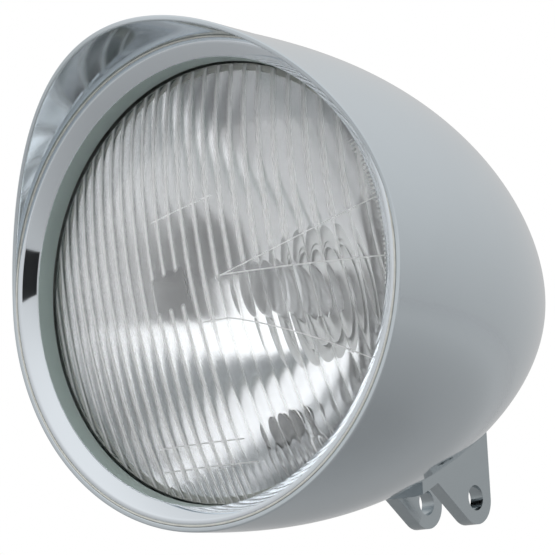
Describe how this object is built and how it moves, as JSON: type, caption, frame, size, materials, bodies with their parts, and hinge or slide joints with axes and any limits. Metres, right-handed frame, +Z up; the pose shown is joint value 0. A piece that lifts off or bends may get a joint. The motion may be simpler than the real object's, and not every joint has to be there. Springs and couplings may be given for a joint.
{
  "type": "motorcycle headlight",
  "caption": "Round bullet-shaped motorcycle headlight with its own visor, recessed trim ring, domed fluted glass and a two-eared bottom mount.",
  "frame": {"origin": "middle of the mounting bolt's hole, halfway between the two ears", "axes": "+X along the bolt, +Y back along the lamp's axis towards its nose, +Z up; the lamp looks along -Y"},
  "size_m": [0.1534, 0.1941, 0.1541],
  "materials": {
    "shell_chrome": "bright chrome plate on spun steel",
    "bracket_chrome": "chrome plate on a cast bracket, a little duller than the shell",
    "ring_chrome": "bright chrome plate on pressed steel",
    "zinc_steel": "zinc plated steel",
    "spring_steel": "drawn spring steel",
    "black_rubber": "matt moulded rubber",
    "seal_bead": "cured sealing bead",
    "lens_glass": "clear pressed glass with flutes on its back",
    "bulb_glass": "clear bulb glass",
    "reflector_mirror": "aluminised and lacquered mirror face",
    "bulb_base": "moulded heat resistant base",
    "contact_brass": "tinned brass blades"
  },
  "bodies": {
    "root": {"housing_shell": "shell_chrome", "mount_bracket": "bracket_chrome", "bracket_screws": "zinc_steel", "bracket_washers": "zinc_steel", "wire_grommet": "black_rubber", "trim_ring": "ring_chrome", "rim_seal": "black_rubber", "ring_clips": "spring_steel", "clip_rivets": "zinc_steel", "unit_springs": "spring_steel", "lens_glass": "lens_glass", "lens_seal": "seal_bead", "reflector": "reflector_mirror", "bulb_holder": "zinc_steel", "holder_rivets": "zinc_steel", "bulb_clip": "spring_steel", "bulb_glass": "bulb_glass", "bulb_collar": "zinc_steel", "bulb_base": "bulb_base", "bulb_blades": "contact_brass", "dust_boot": "black_rubber", "pilot_bulb": "bulb_glass", "pilot_socket": "black_rubber"}
  },
  "joints": []
}
